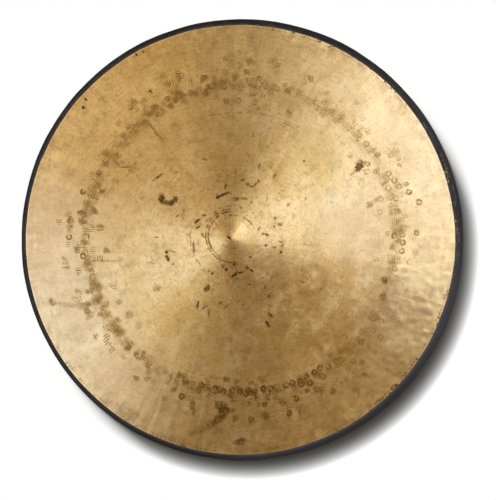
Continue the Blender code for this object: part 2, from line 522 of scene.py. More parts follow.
def hatched_marks(n, plane, angle, density, loops, cell, pitch, seed):
    """Scattered hammer marks: short blocks of parallel lines, turned along or across the ring."""
    shift = (seed * 0.137, seed * 0.071, 0.0)
    moved = n.vector_math("ADD", plane, shift)
    net = n.cells(moved, cell, 0.85)
    away = n.vector_math("SUBTRACT", moved, net["Position"])
    middle = n.vector_math("SUBTRACT", net["Position"], shift)
    middle_radius = n.vector_math("LENGTH", middle)
    picks = n.add("ShaderNodeSeparateColor", {0: net["Color"]}).outputs

    turn = n.plus(angle, n.times(n.minus(picks[1], 0.5), 0.4))
    cosine, sine = n.math("COSINE", turn), n.math("SINE", turn)
    out = n.vector_math("DOT_PRODUCT", away, n.vector(cosine, sine))
    along = n.vector_math("DOT_PRODUCT", away, n.vector(n.times(sine, -1.0), cosine))
    upright = n.math("GREATER_THAN", picks[2], 0.5)
    run = n.math("MULTIPLY_ADD", upright, n.minus(out, along), along)
    side = n.minus(n.plus(out, along), run)
    wave = n.times(n.plus(0.8, n.times(picks[1], 0.5)), 2 * math.pi / pitch)
    lines = n.step(n.math("SINE", n.times(run, wave)), -0.1, 0.9)
    crossed = n.step(n.math("SINE", n.times(side, wave)), -0.1, 0.9)
    lines = n.most(lines, n.times(crossed, n.math("GREATER_THAN", picks[1], 0.6)))
    grow = n.plus(0.75, n.times(picks[0], 0.6))
    extent = n.times(
        n.step(n.times(n.math("ABSOLUTE", run), grow), 0.0080, 0.0036),
        n.step(n.times(n.math("ABSOLUTE", side), grow), 0.0072, 0.0024),
    )
    block = n.times(extent, n.plus(0.18, n.times(0.82, lines)))

    distance = n.length(out, along)
    smudge = n.step(distance, 0.0080, 0.0015, 0.0, n.times(picks[1], 0.55))
    block = n.most(block, smudge)
    loop = n.most(loop_at(n, distance), smudge)
    is_loop = n.math("LESS_THAN", picks[0], loops)
    shape = n.plus(block, n.times(is_loop, n.minus(loop, block)))
    chance = n.math("FRACT", n.plus(n.times(picks[0], 7.31), n.times(picks[1], 3.77)))
    kept = n.math("LESS_THAN", chance, density(middle_radius))
    return n.times(shape, kept, n.plus(0.50, n.times(0.50, n.math("FRACT", n.times(picks[2], 13.7)))))


def all_marks(n, place, plane, radius, angle):
    """Every hammer mark of the ring and round it, the radius as the ring sways, and the marks' strength."""
    warps = []
    for shift in (0.0, 0.5):
        moved = n.vector_math("ADD", place, (shift, shift, 0.0))
        warps.append(n.times(n.minus(n.noise(moved, 300.0, 3.0, 0.65), 0.5), 0.0036))
    sway = n.times(n.math("COSINE", n.minus(angle, RING_SWAY_ANGLE)), RING_SWAY)
    swayed = n.minus(radius, sway)
    warped = n.vector_math("ADD", plane, n.vector(*warps))

    def density(middle_radius):
        """How likely a mark is, by how far its middle is from the ring."""
        off = n.minus(n.minus(middle_radius, sway), RING_RADIUS)
        close = n.step(n.math("ABSOLUTE", n.minus(off, 0.001)), 0.0135, 0.0030, 0.0, 0.88)
        outer = n.step(n.math("ABSOLUTE", n.minus(off, 0.012)), 0.0380, 0.0080, 0.0, 0.26)
        inner = n.step(n.math("ABSOLUTE", n.plus(off, 0.014)), 0.0280, 0.0050, 0.0, 0.30)
        return n.most(close, outer, n.times(inner, n.plus(0.3, n.times(0.7, sector(n, angle, 22, 30, 15)))))

    loops = n.plus(0.02, n.times(0.26, sector(n, angle, -20, 60, 30)))
    blocks = [
        hatched_marks(n, warped, angle, density, loops, cell=0.0104, pitch=0.0032, seed=1),
        n.times(hatched_marks(n, warped, angle, density, loops, cell=0.0145, pitch=0.0029, seed=2), 0.8),
    ]
    row_sector = n.most(sector(n, angle, -76, 32, 12), n.times(sector(n, angle, -30, 26, 14), 0.55))
    row = n.times(row_of_loops(n, swayed, angle, warps), row_sector)

    # Long lines along the ring, where the hammer's edge slid
    slid = n.noise(n.vector(n.times(angle, 5.0), n.times(radius, 330.0)), 1.0, 2.0)
    long_lines = n.times(
        n.step(n.math("SINE", n.times(swayed, 2 * math.pi / 0.0031)), -0.2, 0.8),
        n.step(n.math("ABSOLUTE", n.minus(swayed, RING_RADIUS - 0.002)), 0.0130, 0.0060),
        n.step(slid, 0.46, 0.62),
        n.most(*(sector(n, angle, middle, 12, 6) for middle in (138, 42, -52))),
        0.70,
    )
    worn = n.step(n.noise(place, 150.0, 4.0, 0.7), 0.36, 0.54, 0.32, 1.0)
    strength = n.plus(
        0.90,
        n.times(0.40, sector(n, angle, 268, 45, 25)),
        n.times(0.45, sector(n, angle, 193, 32, 18)),
        n.times(-0.45, sector(n, angle, 326, 24, 10)),
    )
    return n.times(n.most(*blocks, row, long_lines), worn, strength), swayed, strength


def specks(n, x, y, wobble, cell, size, keep, stretch, turn_deg, seed):
    """Small specks or dashes over the metal, one in some of the cells of a random net."""
    cosine, sine = heading(turn_deg)
    along = n.plus(n.times(x, cosine), n.times(y, sine))
    across = n.minus(n.times(y, cosine), n.times(x, sine))
    along = n.plus(n.times(along, 1 / stretch), n.times(wobble, size * 1.5), seed * 0.37)
    across = n.plus(across, n.times(wobble, size * 1.5), seed * 0.21)
    net = n.cells(n.vector(along, across), cell)
    picks = n.add("ShaderNodeSeparateColor", {0: net["Color"]}).outputs
    kept = n.math("LESS_THAN", picks[0], keep)
    reach = n.times(size / cell, n.plus(0.35, n.times(0.65, picks[1])))
    dot = n.step(net["Distance"], reach, n.times(reach, 0.45))
    return n.times(dot, kept, n.plus(0.35, n.times(0.65, picks[2])))


def scratches(n, x, y, turn_deg, seed):
    """Fine straight scratches, all one way."""
    cosine, sine = heading(turn_deg)
    along = n.plus(n.times(x, cosine * 55), n.times(y, sine * 55), seed)
    across = n.plus(n.times(y, cosine * 700), n.times(x, sine * -700))
    return n.step(n.noise(n.vector(along, across), 1.0, 1.0), 0.64, 0.72)


def spot(n, place_and_one, ragged, stain):
    """One stain: an ellipse with a ragged edge, at a place on the face."""
    x_mm, y_mm, half_length, half_width, turn_deg, soft, depth = stain
    cosine, sine = heading(turn_deg)
    reach = ragged
    for half_mm, axis in ((half_length, (cosine, sine)), (half_width, (-sine, cosine))):
        across, up = (part * 1000 / half_mm for part in axis)
        shift = -(across * x_mm + up * y_mm) / 1000
        away = n.vector_math("DOT_PRODUCT", place_and_one, (across, up, shift))
        reach = n.math("MULTIPLY_ADD", away, away, reach)
    return n.step(reach, (1.0 + soft) ** 2, (1.0 - soft) ** 2, 0.0, depth)


# Stains that stand out: place from the middle in mm, half sizes in mm, turn in degrees, softness, depth
STAINS = (
    # Two big spots with what trails off them, and the dark spot at the lathe's centre
    (175.5, 106.5, 7, 5.2, 55, 0.4, 1.0),
    (167, 98, 6, 1.9, 36, 0.8, 0.45),
    (-114, 60.5, 4, 6.8, 10, 0.6, 1.0),
    (-108, 54.5, 5.5, 3, 0, 0.6, 0.85),
    (-100, 54, 5, 3.6, 35, 0.6, 1.0),
    (-94, 59.5, 3.6, 4.4, -30, 0.6, 0.85),
    (-14.5, 2.9, 3.4, 2.2, -35, 0.4, 1.0),
    # Streaks and spots over the upper half
    (-24, 66, 10, 1.8, 22, 0.45, 1.0),
    (-32, 62, 2.2, 2.2, 0, 0.5, 1.0),
    (-20, 78, 1.5, 4.2, -12, 0.6, 0.75),
    (-3.5, 60, 4, 2.4, 0, 0.75, 0.75),
    (7, 60.5, 6, 1.7, -4, 0.7, 0.7),
    (12, 81.5, 2.4, 2, -30, 0.45, 1.0),
    (18.5, 78.5, 4.8, 1.4, -14, 0.55, 0.8),
    (24, 81.5, 3.4, 1.3, 30, 0.6, 0.75),
    (28.5, 86, 1.9, 2.2, 0, 0.6, 0.8),
    (5, 88, 3.2, 1.5, 14, 0.6, 0.75),
    (29.5, 107.5, 2, 4, -8, 0.7, 0.65),
    (52, 94, 3.8, 1.4, 46, 0.6, 0.7),
    (40.5, 60, 1.3, 3.6, -15, 0.7, 0.45),
    (-50.5, 118, 4.4, 1.4, -16, 0.6, 0.65),
    (-120, 92, 8, 1.5, 36, 0.6, 0.8),
    (-92, 98.5, 2.2, 1.4, -20, 0.6, 0.65),
    (-180, 113, 6, 1.2, -50, 0.8, 0.45),
    (-167, 107, 7, 1.2, 0, 0.8, 0.6),
    (-154, 111, 5, 1.2, 40, 0.8, 0.45),
    (-125, 161, 16, 1.2, -50, 0.9, 0.5),
    (-131, 218, 3.2, 1.5, -40, 0.6, 0.8),
    (-122, 155, 4.5, 1.2, -40, 0.6, 0.6),
    (20, 154, 1.5, 4, 0, 0.7, 0.45),
    (70, 169, 6, 1.5, -20, 0.7, 0.45),
    (-6, 100, 1.8, 3.5, 0, 0.7, 0.45),
    # Left and right of the boss
    (-62, 27.5, 4.8, 1.8, 42, 0.5, 1.0),
    (-61, 18, 3.4, 1.6, 25, 0.5, 1.0),
    (-51.5, 36, 3, 1.6, 0, 0.6, 0.7),
    (-35, 40, 1.7, 2, 0, 0.6, 0.75),
    (-53, 6, 3.8, 1.7, -52, 0.6, 0.75),
    (-76, 8, 2, 1.4, 0, 0.6, 0.5),
    (-122, 3.5, 2.5, 1.3, 0, 0.6, 0.7),
    (-67, -11, 7.2, 1.5, -86, 0.6, 0.8),
    (-107, -18, 2.4, 2.6, 0, 0.5, 0.95),
    (-105.5, -27, 5, 2.4, -65, 0.5, 1.0),
    (-99.5, -17, 5.5, 1.2, -12, 0.7, 0.6),
    (-97.5, -35.5, 2, 1.8, 0, 0.7, 0.6),
    (52.5, 31.5, 1.9, 1.9, 0, 0.45, 1.0),
    (51, 19.5, 1.3, 1.3, 0, 0.45, 1.0),
    (60, 22.5, 3, 2.4, 0, 0.75, 0.75),
    (29, 16.5, 3.6, 1.3, 60, 0.6, 0.7),
    (35, 9, 1.8, 1.6, 0, 0.55, 0.8),
    (41, 7.5, 2.6, 1.8, -30, 0.5, 0.9),
    (39, -8, 2.2, 1.8, 0, 0.55, 0.8),
    (51.5, -11, 2.6, 1.7, -20, 0.65, 0.65),
    (61, -3.5, 3.2, 1.3, -25, 0.6, 0.65),
    (61, -18, 2, 2, 0, 0.45, 1.0),
    (72, 51.5, 2.3, 2.3, 0, 0.8, 0.55),
    (97, 60.5, 1.8, 1.8, 0, 0.7, 0.55),
    (95, 115, 1.7, 1.7, 0, 0.5, 0.9),
    # Below the boss
    (-19, -43.5, 2.2, 2.2, 0, 0.45, 1.0),
    (-24, -39, 3.2, 2.6, 0, 0.8, 0.65),
    (-39.5, -49, 2.2, 2, 0, 0.5, 0.9),
    (-44, -45.5, 1.7, 1.6, 0, 0.6, 0.75),
    (-7.5, -36, 2.2, 1.6, 0, 0.55, 0.9),
    (-7, -51.5, 6.2, 1.8, 36, 0.5, 1.0),
    (2.5, -48, 4.6, 1.4, 10, 0.6, 0.9),
    (12, -41.5, 2.6, 2.2, 0, 0.6, 0.9),
    (18.5, -45.5, 3.8, 1.5, -35, 0.6, 0.85),
    (16.5, -25.5, 2, 1.5, 0, 0.55, 0.8),
    (-47.5, -71.5, 4.6, 3.4, 55, 0.6, 0.95),
    (-61, -95, 5.2, 1.6, 74, 0.6, 0.9),
    (-51, -99, 5, 1.5, 30, 0.65, 0.65),
    (-44.5, -108, 4.4, 1.3, 86, 0.7, 0.6),
    (-27.5, -92.5, 2.2, 2, 0, 0.75, 0.6),
    (-18.5, -97.5, 4, 1.2, 40, 0.75, 0.55),
    (-121, -71, 4.6, 4, 0, 0.9, 0.5),
    (42, -124, 5.6, 1.8, -58, 0.5, 1.0),
    (45.5, -110, 5, 1.6, -45, 0.6, 0.8),
    (44, -82.5, 2.6, 1.8, 20, 0.6, 0.75),
    (38, -70, 1.6, 2.4, 0, 0.6, 0.65),
    (92.5, -61.5, 3.4, 1.4, -35, 0.6, 0.7),
    (120, -71.5, 3.8, 1.2, 50, 0.7, 0.5),
    # Near the edge
    (-227, 207, 3, 1.5, -50, 0.5, 1.0),
    (-231, 195, 2.3, 2.3, 0, 0.45, 1.0),
    (-152.5, 272.5, 2.3, 2, -35, 0.5, 1.0),
    (-142.5, 277, 1.9, 1.9, 0, 0.6, 0.75),
    (-26, -241, 1.9, 4.2, 0, 0.6, 0.75),
    (-33.5, -243, 1.7, 3.6, 0, 0.6, 0.55),
    (-5, -262, 1.6, 5, 0, 0.6, 0.55),
    (-8.5, -262, 1.4, 4.6, 0, 0.6, 0.45),
    (72, -257, 1.5, 5, 10, 0.6, 0.5),
    (88, -253, 1.5, 4.6, 14, 0.6, 0.45),
    (-6, -263, 5, 3, 60, 0.8, 0.5),
)

# Smears of tarnish, listed in the same way
SMEARS = (
    # Broad clouds
    (2, -40, 40, 13, 0, 0.95, 0.24),
    (-20, 20, 17, 13, -40, 0.95, 0.22),
    (46, -72, 26, 60, 35, 0.95, 0.16),
    (-70, -15, 10, 30, 0, 0.95, 0.1),
    (48, 15, 20, 22, 0, 0.95, 0.1),
    (-6, 92, 42, 22, 0, 0.95, 0.1),
    (-105, 60, 26, 16, 0, 0.95, 0.14),
    (-20, -262, 50, 20, 0, 0.95, 0.16),
    (206, -118, 46, 20, -25, 0.95, 0.12),
    # Along the ring of marks on the right
    (234, 19, 8, 9, 0, 0.95, 0.38),
    (240, -61, 8.5, 6, 0, 0.95, 0.2),
    (212.5, -59.5, 4.5, 4, 0, 0.9, 0.7),
    (211, -82.5, 4, 5, 0, 0.9, 0.55),
    (225.5, -34, 6.5, 4, 0, 0.9, 0.5),
    (225, -110, 12, 7, -30, 0.95, 0.3),
    (236, -122, 9, 11, 30, 0.95, 0.22),
    # Along the ring on the left and at the lower right, and between it and the edge at the bottom
    (-219, 69, 5, 6, 0, 0.9, 0.35),
    (-225, 52, 4.5, 7, 0, 0.9, 0.45),
    (-230, 38, 4.5, 6, 0, 0.9, 0.45),
    (-232, 27, 4.5, 5, 0, 0.9, 0.45),
    (-250, 20, 5, 2.5, 0, 0.8, 0.5),
    (-225, -32, 5, 11, 0, 0.8, 0.48),
    (-257, -41, 5, 2, 0, 0.8, 0.55),
    (-192, -31, 24, 1, 0, 0.9, 0.5),
    (-210, -68, 5, 8, 15, 0.9, 0.4),
    (-210, -89, 7, 6.5, 0, 0.8, 0.58),
    (-228, -96, 14, 4.5, 8, 0.9, 0.45),
    (-254, -96, 16, 3.2, -6, 0.9, 0.38),
    (-277, -92, 5, 4.2, -30, 0.8, 0.55),
    (-220, -112, 7, 3.5, 45, 0.85, 0.45),
    (-198, -110, 4.5, 7, 30, 0.9, 0.4),
    (-181, -132, 9, 6, -40, 0.85, 0.5),
    (-162, -110, 4.5, 4.5, 0, 0.8, 0.45),
    (-149, -127, 4.2, 4.2, 0, 0.8, 0.4),
    (149, -163, 6, 4.2, 30, 0.85, 0.38),
    (135, -169, 6, 5, 0, 0.85, 0.42),
    (164, -149, 8, 4.2, 20, 0.9, 0.22),
    (151, -178, 5, 6, 0, 0.9, 0.22),
    (197, -116, 6, 5, 0, 0.9, 0.38),
    (120, -222, 3, 6, 0, 0.85, 0.4),
    (-23.5, -251, 6.6, 9.5, -14, 0.6, 0.72),
    (-31.5, -264, 11, 5, 42, 0.7, 0.66),
    (-44, -273, 12, 4.8, 34, 0.75, 0.5),
    (-58, -280, 14, 4.6, 24, 0.85, 0.4),
    (38, -258, 4.6, 5.5, 0, 0.8, 0.5),
    (17, -264, 4, 5.6, 0, 0.8, 0.6),
    (1, -297, 8, 4, 10, 0.9, 0.62),
)

# Scribed rings: middle and radius in mm, middle and half of the sector that shows in degrees, depth
SCRIBED = (
    (-9.5, 6.0, 36.0, 165, 75, 1.0),
    (-9.5, 6.0, 39.6, 190, 95, 0.85),
    (-8.0, 3.0, 33.0, 70, 35, 0.9),
    (-9.5, 6.0, 43.5, 120, 45, 0.65),
    (-8.0, 4.0, 64.0, 215, 50, 0.6),
    (0.0, 0.0, 187.0, 85, 8, 0.45),
    (0.0, 0.0, 226.0, 88, 9, 0.5),
    (-4.0, 0.0, 205.0, 265, 12, 0.4),
)


def smears_at(points):
    """How strongly the smears of tarnish show at each point."""
    total = np.zeros(len(points))
    rough = 0.9 * noise_at(points * (1.0, 1.0, 0.0), 0.009, 15)
    for x_mm, y_mm, half_length, half_width, turn_deg, soft, depth in SMEARS:
        away = points[:, :2] * 1000 - (x_mm, y_mm)
        cosine, sine = heading(turn_deg)
        along = (away[:, 0] * cosine + away[:, 1] * sine) / half_length
        across = (away[:, 1] * cosine - away[:, 0] * sine) / half_width
        reach = along**2 + across**2 + rough
        total = np.maximum(total, depth * smooth_step((1 + soft) ** 2, (1 - soft) ** 2, reach))
    return total


def scribed_rings(n, x, y, wobble, patches):
    """Thin dark circles and arcs that a point left on the spinning metal."""
    total = None
    for x_mm, y_mm, radius_mm, middle_deg, half_deg, depth in SCRIBED:
        _, _, radius, angle = about(n, x, y, (x_mm / 1000, y_mm / 1000))
        off = n.math("ABSOLUTE", n.plus(n.minus(radius, radius_mm / 1000), n.times(wobble, 0.0035)))
        line = n.step(off, 0.0023, 0.0)
        shown_part = sector(n, angle, middle_deg, half_deg, 22)
        one = n.times(line, shown_part, n.plus(0.25, n.times(0.75, patches)), depth)
        total = one if total is None else n.most(total, one)
    return total


def bronze_material():
    material, n, shader = new_material("lathed_bronze")
    place, x, y, _ = position(n)
    place_and_one = n.vector(x, y, 1.0)
    from_edge = n.add("ShaderNodeAttribute", {}, attribute_name="from_edge").outputs["Fac"]
    _, _, radius, angle = about(n, x, y, (0.0, 0.0))
    dx, dy, lathe_radius, lathe_angle = about(n, x, y, LATHE_CENTRE)
    ray_x, ray_y = n.math("COSINE", lathe_angle), n.math("SINE", lathe_angle)

    clouds = n.noise(place, 9.0, 4.0, 0.55)
    mottle = n.noise(place, 70.0, 4.0, 0.65)
    wobble = n.minus(n.noise(place, 420.0, 2.0), 0.5)
    patches = n.step(n.noise(place, 130.0, 2.0), 0.40, 0.58)
    ragged = n.times(n.minus(n.noise(place, 400.0, 3.0, 0.7), 0.5), 5.0)
    grains = n.step(n.noise(place, 620.0, 2.0, 0.7), 0.36, 0.56, 0.50, 1.0)

    # Rays run out from the lathe's centre, and lathe lines run round it
    def spun(bumps_across, bumps_out, detail, roughness):
        """Noise with so many bumps over the lathe's turn, and so many in a metre of radius."""
        turned = (n.times(ray_x, bumps_across), n.times(ray_y, bumps_across))
        return n.noise(n.vector(*turned, n.times(lathe_radius, bumps_out)), 1.0, detail, roughness)

    rays = spun(42.0, 14.0, 3.0, 0.6)
    fibres = spun(150.0, 30.0, 3.0, 0.7)
    lines = spun(2.0, 620.0, 3.0, 0.7)
    brushed = spun(14.0, 420.0, 2.0, 0.5)

    # Marks, specks, scratches and stains
    marks, swayed, strength = all_marks(n, place, place_and_one, radius, angle)
    ring_haze = n.times(
        n.step(n.math("ABSOLUTE", n.minus(swayed, HAZE_RADIUS)), 0.026, 0.002),
        n.step(n.noise(place, 75.0, 3.0, 0.6), 0.42, 0.62),
        strength,
    )
    ring_smear = n.times(
        n.step(n.math("ABSOLUTE", n.minus(swayed, RING_RADIUS)), 0.0110, 0.0015),
        n.step(n.noise(place, 105.0, 4.0, 0.7), 0.42, 0.60),
        strength,
    )
    near_middle = n.step(lathe_radius, 0.17, 0.06, 0.30, 1.0)
    dots = n.most(
        specks(n, x, y, wobble, cell=0.011, size=0.0019, keep=0.42, stretch=1.2, turn_deg=0, seed=1),
        specks(n, x, y, wobble, cell=0.009, size=0.0018, keep=0.36, stretch=2.8, turn_deg=38, seed=2),
        specks(n, x, y, wobble, cell=0.010, size=0.0018, keep=0.34, stretch=3.2, turn_deg=118, seed=3),
        specks(n, x, y, wobble, cell=0.008, size=0.0014, keep=0.34, stretch=3.6, turn_deg=-18, seed=4),
    )
    dots = n.times(dots, near_middle, n.step(n.noise(place, 34.0, 3.0, 0.6), 0.42, 0.60, 0.12, 1.0))
    nicks = n.times(
        specks(n, x, y, wobble, cell=0.010, size=0.0024, keep=0.40, stretch=1.8, turn_deg=60, seed=5),
        n.step(from_edge, 0.030, 0.014),
        n.plus(0.15, n.times(0.85, sector(n, angle, 168, 42, 20))),
    )
    dark_scratches = n.most(scratches(n, x, y, 52, 3.0), scratches(n, x, y, -24, 9.0))
    pale_scratches = n.most(scratches(n, x, y, 76, 15.0), scratches(n, x, y, -40, 21.0))
    stain = scribed_rings(n, x, y, wobble, patches)
    for one in STAINS:
        stain = n.most(stain, spot(n, place_and_one, ragged, one))
    freckles = n.noise(place, 260.0, 3.0, 0.7)
    smeared = n.add("ShaderNodeAttribute", {}, attribute_name="smeared").outputs["Fac"]
    stain = n.most(n.times(stain, grains), n.times(smeared, n.step(freckles, 0.36, 0.56, 0.60, 1.05)))
    # Painted shade: a brown wash over some sectors round the lathe's centre and near the boss, which
    # darkens how the metal reflects there
    painted_shade_sectors = n.most(
        n.times(sector(n, lathe_angle, 320, 22, 12), n.step(lathe_radius, 0.190, 0.155)),
        n.times(sector(n, lathe_angle, 88, 30, 20), n.step(lathe_radius, 0.060, 0.035)),
        n.times(sector(n, lathe_angle, 294, 16, 12), n.step(lathe_radius, 0.23, 0.19)),
        n.times(sector(n, lathe_angle, 190, 24, 14), n.step(lathe_radius, 0.05, 0.10)),
    )

    # Ragged black flecks where scale is left just inside the edge
    fleck_places = n.most(
        sector(n, angle, 62, 20, 8),
        sector(n, angle, 322, 24, 8),
        n.times(sector(n, angle, 235, 30, 15), 0.55),
        0.18,
    )
    fleck_noise = n.noise(place, 330.0, 3.0, 0.7)
    flecks = n.times(
        n.step(fleck_noise, 0.52, 0.56),
        n.step(from_edge, 0.0072, 0.0020),
        n.step(n.noise(place, 75.0, 1.0), 0.42, 0.56),
        fleck_places,
    )
    brown_edge = n.times(
        n.step(from_edge, 0.030, 0.002),
        n.step(n.noise(place, 60.0, 3.0, 0.6), 0.42, 0.66),
        n.most(sector(n, angle, 240, 30, 25), n.times(sector(n, angle, 55, 25, 20), 0.9), 0.25),
    )

    pale = colour(0.95, 0.668, 0.288)
    warm = colour(0.74, 0.465, 0.156)
    polished = colour(1.0, 0.81, 0.54)
    umber = colour(0.300, 0.150, 0.032)
    olive = colour(0.150, 0.074, 0.011)
    brown = colour(0.34, 0.185, 0.060)
    dark = colour(0.050, 0.022, 0.004)
    tan = colour(0.470, 0.270, 0.070)
    amber = colour(0.80, 0.460, 0.110)
    marbling_and_highlight_cream = colour(1.0, 0.755, 0.380)
    painted_highlight_gold = colour(1.0, 0.750, 0.330)

    # The base colour, coat over coat
    base = n.blend(n.step(clouds, 0.34, 0.68, 0.15, 0.85), pale, warm)
    # Painted shade: the sectors above are washed brown
    base = n.blend(n.times(painted_shade_sectors, 0.20), base, brown)
    base = n.blend(n.times(sector(n, angle, 243, 14, 14), 0.50), base, amber)
    base = n.blend(n.times(n.step(rays, 0.42, 0.66), 0.22), base, warm)
    base = n.blend(n.times(n.step(fibres, 0.46, 0.72), 0.20), base, brown)
    blotch = n.noise(place, 30.0, 5.0, 0.65)
    # Marbled blotches, darker and lighter, all over and twice as strong on the lower right: partly tarnish,
    # partly painted highlight and shade of the crumpled metal there
    marbled_sheen_side = n.plus(0.50, n.times(0.50, sector(n, angle, 318, 32, 25)))
    base = n.blend(n.times(n.step(blotch, 0.50, 0.62), marbled_sheen_side, 0.24), base, brown)
    base = n.blend(n.times(n.step(blotch, 0.50, 0.38), marbled_sheen_side, 0.60), base, marbling_and_highlight_cream)
    # Painted highlight: the outer band is painted paler on the right and the left, where the side lamps'
    # streaks fall
    painted_highlight_lobes = n.most(n.times(sector(n, angle, 16, 42, 25), 0.85), sector(n, angle, 203, 32, 25))
    base = n.blend(n.step(mottle, 0.50, 0.70, 0.0, 0.36), base, brown)
    base = n.blend(n.step(freckles, 0.52, 0.72, 0.0, 0.46), base, brown)
    base = n.blend(n.step(brushed, 0.52, 0.72, 0.0, 0.28), base, brown)
    painted_highlight_lobes = n.times(painted_highlight_lobes, n.step(from_edge, 0.150, 0.075))
    painted_highlight_lobes = n.most(painted_highlight_lobes, n.times(sector(n, angle, 10, 15, 12), n.step(from_edge, 0.220, 0.160), 0.85))
    base = n.blend(n.times(painted_highlight_lobes, 0.28), base, polished)
    # Painted highlight: bright gold patches in the outer band on the lower right
    painted_highlight_patch = n.times(sector(n, angle, 344, 13, 12), n.step(from_edge, 0.110, 0.070))
    base = n.blend(n.times(painted_highlight_patch, n.step(blotch, 0.60, 0.42), 0.55), base, painted_highlight_gold)
    base = n.blend(n.times(ring_haze, 0.26), base, tan)
    base = n.blend(n.times(ring_smear, 0.33), base, umber)
    base = n.blend(n.times(brown_edge, 0.40), base, brown)
    base = n.blend(n.times(pale_scratches, near_middle, 0.35), base, polished)
    base = n.blend(n.times(dark_scratches, near_middle, 0.55), base, umber)
    base = n.blend(n.times(nicks, 0.35), base, polished)
    base = n.blend(n.step(marks, 0.0, 0.50, 0.0, 0.80), base, tan)
    base = n.blend(n.step(marks, 0.30, 1.0, 0.0, 0.80), base, olive)
    base = n.blend(n.times(dots, 0.90), base, olive)
    base = n.blend(n.step(stain, 0.0, 0.60, 0.0, 0.75), base, umber)
    base = n.blend(n.step(stain, 0.30, 1.0, 0.0, 0.95), base, dark)
    bare_edge = n.step(from_edge, 0.0022, 0.0008)
    base = n.blend(n.times(bare_edge, 0.35), base, polished)
    base = n.blend(flecks, base, dark)

    # The lathe's fine lines stretch the highlights outwards, so the tangent runs out from its centre
    rough = n.step(n.plus(rays, n.times(marks, 0.3)), 0.35, 0.75, 0.36, 0.43)
    height = n.plus(lines, n.times(fibres, 1.2), n.times(mottle, 0.9))
    outward = n.vector(dx, dy)
    tangent = n.add(
        "ShaderNodeVectorTransform",
        {0: outward},
        vector_type="VECTOR",
        convert_from="OBJECT",
        convert_to="WORLD",
    ).outputs[0]
    looks = {
        "Base Color": base,
        "Metallic": 1.0,
        "Roughness": rough,
        "Normal": n.bump(height, 0.20, BUMP_DISTANCE),
        "Anisotropic": 0.85,
        "Tangent": tangent,
    }
    n.fill(shader, looks)
    return material


def scale_material():
    material, n, shader = new_material("black_forging_scale")
    place, x, y, z = position(n)
    _, _, radius, angle = about(n, x, y, (0.0, 0.0))
    on_rim = n.step(radius, 0.300, 0.314)
    clouds = n.noise(place, 45.0, 4.0, 0.6)
    grain = n.noise(place, 700.0, 3.0, 0.6)
    rusty = n.step(n.noise(place, 24.0, 3.0), 0.40, 0.62)
    left = n.times(sector(n, angle, 190, 60, 40), on_rim)

    black = colour(0.022, 0.021, 0.023)
    soot = colour(0.036, 0.034, 0.034)
    rust = colour(0.048, 0.032, 0.022)
    ash = colour(0.075, 0.070, 0.070)
    painted_sheen_grey = colour(0.088, 0.083, 0.082)
    painted_shade_black = colour(0.010, 0.009, 0.009)
    copper = colour(0.10, 0.050, 0.022)
    bronze = colour(0.62, 0.45, 0.24)
    base = n.blend(n.step(clouds, 0.35, 0.65), black, soot)
    base = n.blend(n.times(rusty, n.plus(0.25, n.times(0.6, left))), base, rust)
    base = n.blend(n.times(n.step(grain, 0.55, 0.75), 0.30), base, ash)
    seam_line = n.times(
        n.step(z, RIM_DEPTH - 0.0016, RIM_DEPTH - 0.0004),
        n.step(clouds, 0.35, 0.55, 0.4, 1.0),
    )
    # Painted sheen: the rim's lower right is painted a lighter grey
    base = n.blend(n.times(sector(n, angle, 311, 38, 22), on_rim, 0.80), base, painted_sheen_grey)
    # Painted shade: the rim's top is painted darker
    base = n.blend(n.times(sector(n, angle, 85, 32, 25), on_rim, 0.65), base, painted_shade_black)
    base = n.blend(n.times(seam_line, 0.5), base, copper)
    bare_metal = n.times(
        n.step(n.noise(place, 380.0, 2.0, 0.7), 0.58, 0.62),
        n.step(z, 0.020, 0.040),
        n.step(n.noise(place, 60.0, 1.0), 0.48, 0.54),
        n.most(n.times(sector(n, angle, 13, 16, 6), on_rim), 0.08),
    )
    base = n.blend(bare_metal, base, bronze)
    looks = {
        "Base Color": base,
        "Metallic": n.times(bare_metal, 0.8),
        "Roughness": n.step(clouds, 0.3, 0.7, 0.50, 0.66),
        "Specular IOR Level": 0.0,
        "Normal": n.bump(n.plus(grain, n.times(clouds, 2.0)), 0.25, BUMP_DISTANCE),
    }
    n.fill(shader, looks)
    return material


def build_face(bronze, scale):
    rows, from_edge = face_rows()
    mesh = lathed_mesh("gong_face", rows, True)
    set_attribute(mesh, "from_edge", from_edge, 1.0)
    set_attribute(mesh, "smeared", [smears_at(row) for row in rows], 0.0)
    face = shown("gong_face", mesh, [bronze, scale])
    top_faces = (FACE_RINGS - 1) * FACE_ANGLES
    quads = (len(rows) - 1) * FACE_ANGLES
    slots = np.ones(len(mesh.polygons), dtype=np.int32)
    slots[:top_faces] = 0
    slots[quads : quads + FACE_ANGLES] = 0
    mesh.polygons.foreach_set("material_index", slots)
    shade_smooth(mesh)
    return face


